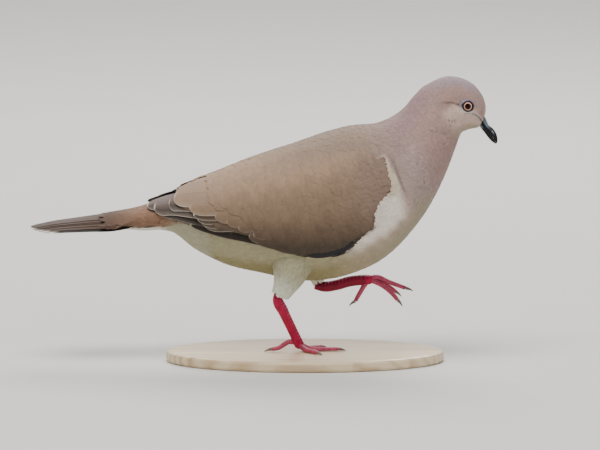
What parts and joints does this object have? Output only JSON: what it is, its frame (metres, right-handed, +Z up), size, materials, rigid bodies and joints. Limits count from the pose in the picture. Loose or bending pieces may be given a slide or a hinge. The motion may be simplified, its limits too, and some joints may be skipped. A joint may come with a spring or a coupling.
{
  "type": "white-tipped dove",
  "caption": "Still, life-size museum model of a white-tipped dove in mid stride, head bent forward, one foot raised, on a plain oval base.",
  "frame": {"origin": "centre of the base's underside", "axes": "+X the way the dove walks, +Y its left side, +Z up"},
  "size_m": [0.261, 0.092, 0.1604],
  "materials": {
    "body_feathers": "soft matte feathers, olive grey-brown above, pinkish grey on the neck, cream below",
    "head_feathers": "short matte feathers, pinkish grey",
    "wing_feathers": "smooth matte feathers, olive brown",
    "flight_feathers": "smooth feathers with a slight sheen, dark grey-brown",
    "leg_skin": "scaly skin, crimson, slight gloss",
    "bill_horn": "smooth black horn",
    "claw_horn": "smooth grey-brown horn",
    "eye": "glossy, salmon-orange iris and dark pupil",
    "base_wood": "pale wood, satin varnish"
  },
  "bodies": {
    "root": {"trunk": "body_feathers", "neck": "body_feathers", "head": "head_feathers", "tail": "flight_feathers", "wing_left": "wing_feathers", "wing_right": "wing_feathers", "primaries_left": "flight_feathers", "primaries_right": "flight_feathers", "thigh_left": "body_feathers", "thigh_right": "body_feathers", "shank_left": "leg_skin", "shank_right": "leg_skin", "foot_left": "leg_skin", "foot_right": "leg_skin", "claw_left_hind": "claw_horn", "claw_left_inner": "claw_horn", "claw_left_middle": "claw_horn", "claw_left_outer": "claw_horn", "claw_right_hind": "claw_horn", "claw_right_inner": "claw_horn", "claw_right_middle": "claw_horn", "claw_right_outer": "claw_horn", "bill_upper": "bill_horn", "bill_lower": "bill_horn", "eye_left": "eye", "eye_right": "eye", "stand_base": "base_wood"}
  },
  "joints": []
}
